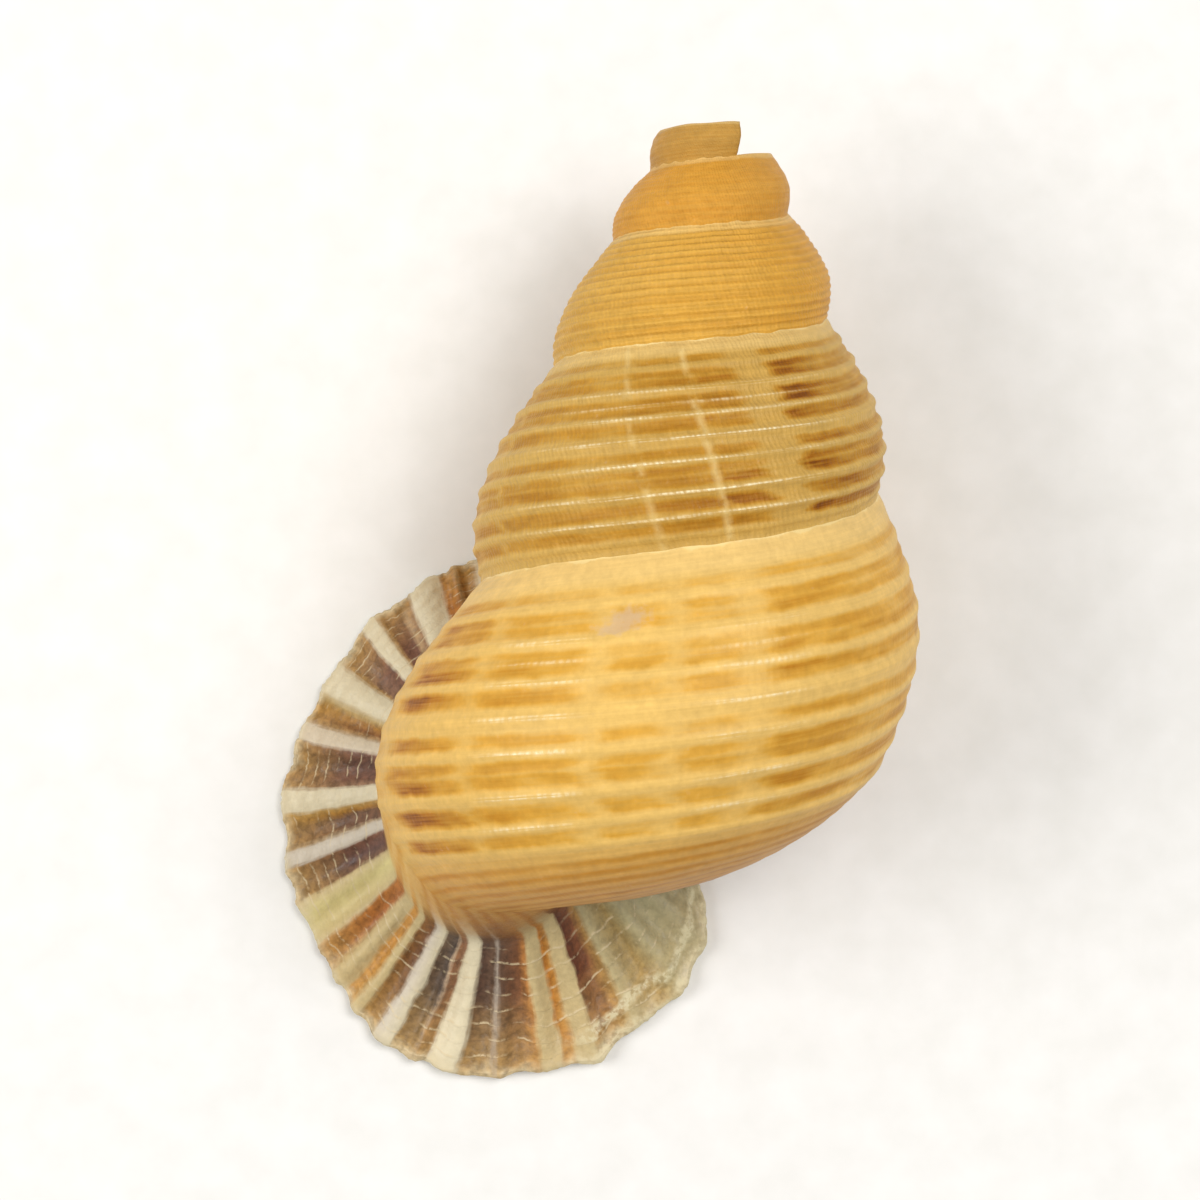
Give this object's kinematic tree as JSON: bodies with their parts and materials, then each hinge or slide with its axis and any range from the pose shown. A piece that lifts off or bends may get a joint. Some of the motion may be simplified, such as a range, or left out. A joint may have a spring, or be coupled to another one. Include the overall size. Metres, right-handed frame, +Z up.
{
  "type": "land snail shell",
  "caption": "Tall spiral land snail shell with a broken top, fine spiral cords and a broad pleated lip round its mouth, resting on the lip.",
  "frame": {"origin": "centre of the bounding box in plan, at the floor the shell rests on", "axes": "+Z up from the floor, away from the mouth; +Y towards the broken top of the spire; +X away from the lip, to the right as seen from above"},
  "size_m": [0.015, 0.0224, 0.0109],
  "materials": {
    "shell_calcite": "satin calcite, amber brown with cream cords and a banded cream and brown lip"
  },
  "bodies": {
    "root": {"shell": "shell_calcite"}
  },
  "joints": []
}
